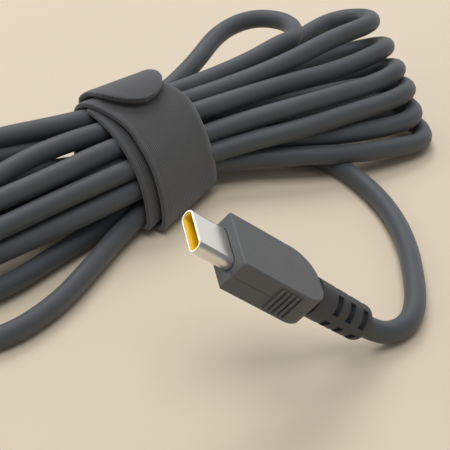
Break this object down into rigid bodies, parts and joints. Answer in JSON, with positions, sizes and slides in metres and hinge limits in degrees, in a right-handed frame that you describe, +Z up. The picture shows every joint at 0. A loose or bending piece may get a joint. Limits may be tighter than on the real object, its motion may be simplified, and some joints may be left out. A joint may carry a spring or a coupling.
{
  "type": "usb-c charging cable",
  "caption": "Round charging cable with a USB-C plug on each end, folded into a long hank and tied at its middle with a hook-and-loop strap.",
  "frame": {"origin": "middle of the whole cable's box, on the table it lies on", "axes": "+X along the hank, away from its loose left loop; +Z up from the table"},
  "size_m": [0.1382, 0.1034, 0.0299],
  "materials": {
    "plug_shell_nickel": "drawn steel, satin nickel plated",
    "insulator_yellow": "moulded, smooth",
    "contact_gold": "gold plated",
    "spring_steel": "stamped, bright",
    "board_green": "solder resist on glass epoxy board",
    "chip_black": "moulded epoxy",
    "capacitor_tan": "fired ceramic",
    "wire_insulation": "extruded",
    "mould_white": "low-pressure moulding",
    "cover_black": "moulded, fine spark-eroded texture",
    "relief_black": "moulded, soft matte",
    "cord_jacket": "extruded elastomer, smooth matte",
    "strap_fabric": "woven hook-and-loop tape"
  },
  "bodies": {
    "root": {"plug_a_shell": "plug_shell_nickel", "plug_a_insulator": "insulator_yellow", "plug_a_upper_contacts": "contact_gold", "plug_a_lower_contacts": "contact_gold", "plug_a_shield_springs": "spring_steel", "plug_a_circuit_card": "board_green", "plug_a_marker_chip": "chip_black", "plug_a_capacitors": "capacitor_tan", "plug_a_wire_ends": "wire_insulation", "plug_a_shield_can": "spring_steel", "plug_a_inner_mould": "mould_white", "plug_a_upper_cover": "cover_black", "plug_a_lower_cover": "cover_black", "plug_a_strain_relief": "relief_black", "plug_a_crimp_ferrule": "spring_steel", "plug_a_cable_end": "cord_jacket", "plug_b_shell": "plug_shell_nickel", "plug_b_insulator": "insulator_yellow", "plug_b_upper_contacts": "contact_gold", "plug_b_lower_contacts": "contact_gold", "plug_b_shield_springs": "spring_steel", "plug_b_circuit_card": "board_green", "plug_b_marker_chip": "chip_black", "plug_b_capacitors": "capacitor_tan", "plug_b_wire_ends": "wire_insulation", "plug_b_shield_can": "spring_steel", "plug_b_inner_mould": "mould_white", "plug_b_upper_cover": "cover_black", "plug_b_lower_cover": "cover_black", "plug_b_strain_relief": "relief_black", "plug_b_crimp_ferrule": "spring_steel", "plug_b_cable_end": "cord_jacket", "cord_lead_a": "cord_jacket", "cord_lead_b": "cord_jacket", "cord_hank": "cord_jacket", "strap_band": "strap_fabric"},
    "tab": {"strap_tab": "strap_fabric"},
    "latch_left_a": {"plug_a_latch_left": "spring_steel"},
    "latch_right_a": {"plug_a_latch_right": "spring_steel"},
    "latch_left_b": {"plug_b_latch_left": "spring_steel"},
    "latch_right_b": {"plug_b_latch_right": "spring_steel"}
  },
  "joints": [
    {"name": "tab_peel", "type": "hinge", "parent": "root", "child": "tab", "pos_m": [0.00812, 0.02241, 0.0182], "axis": [-0.9996, 0, 0.0287], "range_deg": [0, 100]},
    {"name": "latch_left_a_flex", "type": "hinge", "parent": "root", "child": "latch_left_a", "pos_m": [-0.0151, -0.03876, 0.02403], "axis": [-0.5208, 0.4103, -0.7486], "range_deg": [0, 1.8], "stiffness_Nm_per_rad": 0.02},
    {"name": "latch_right_a_flex", "type": "hinge", "parent": "root", "child": "latch_right_a", "pos_m": [-0.01791, -0.0443, 0.02294], "axis": [0.5208, -0.4103, 0.7486], "range_deg": [0, 1.8], "stiffness_Nm_per_rad": 0.02},
    {"name": "latch_left_b_flex", "type": "hinge", "parent": "root", "child": "latch_left_b", "pos_m": [-0.01845, 0.03623, 0.00292], "axis": [-0.0166, 0.0054, -0.9998], "range_deg": [0, 1.8], "stiffness_Nm_per_rad": 0.02},
    {"name": "latch_right_b_flex", "type": "hinge", "parent": "root", "child": "latch_right_b", "pos_m": [-0.0165, 0.04223, 0.00292], "axis": [0.0166, -0.0054, 0.9998], "range_deg": [0, 1.8], "stiffness_Nm_per_rad": 0.02}
  ]
}
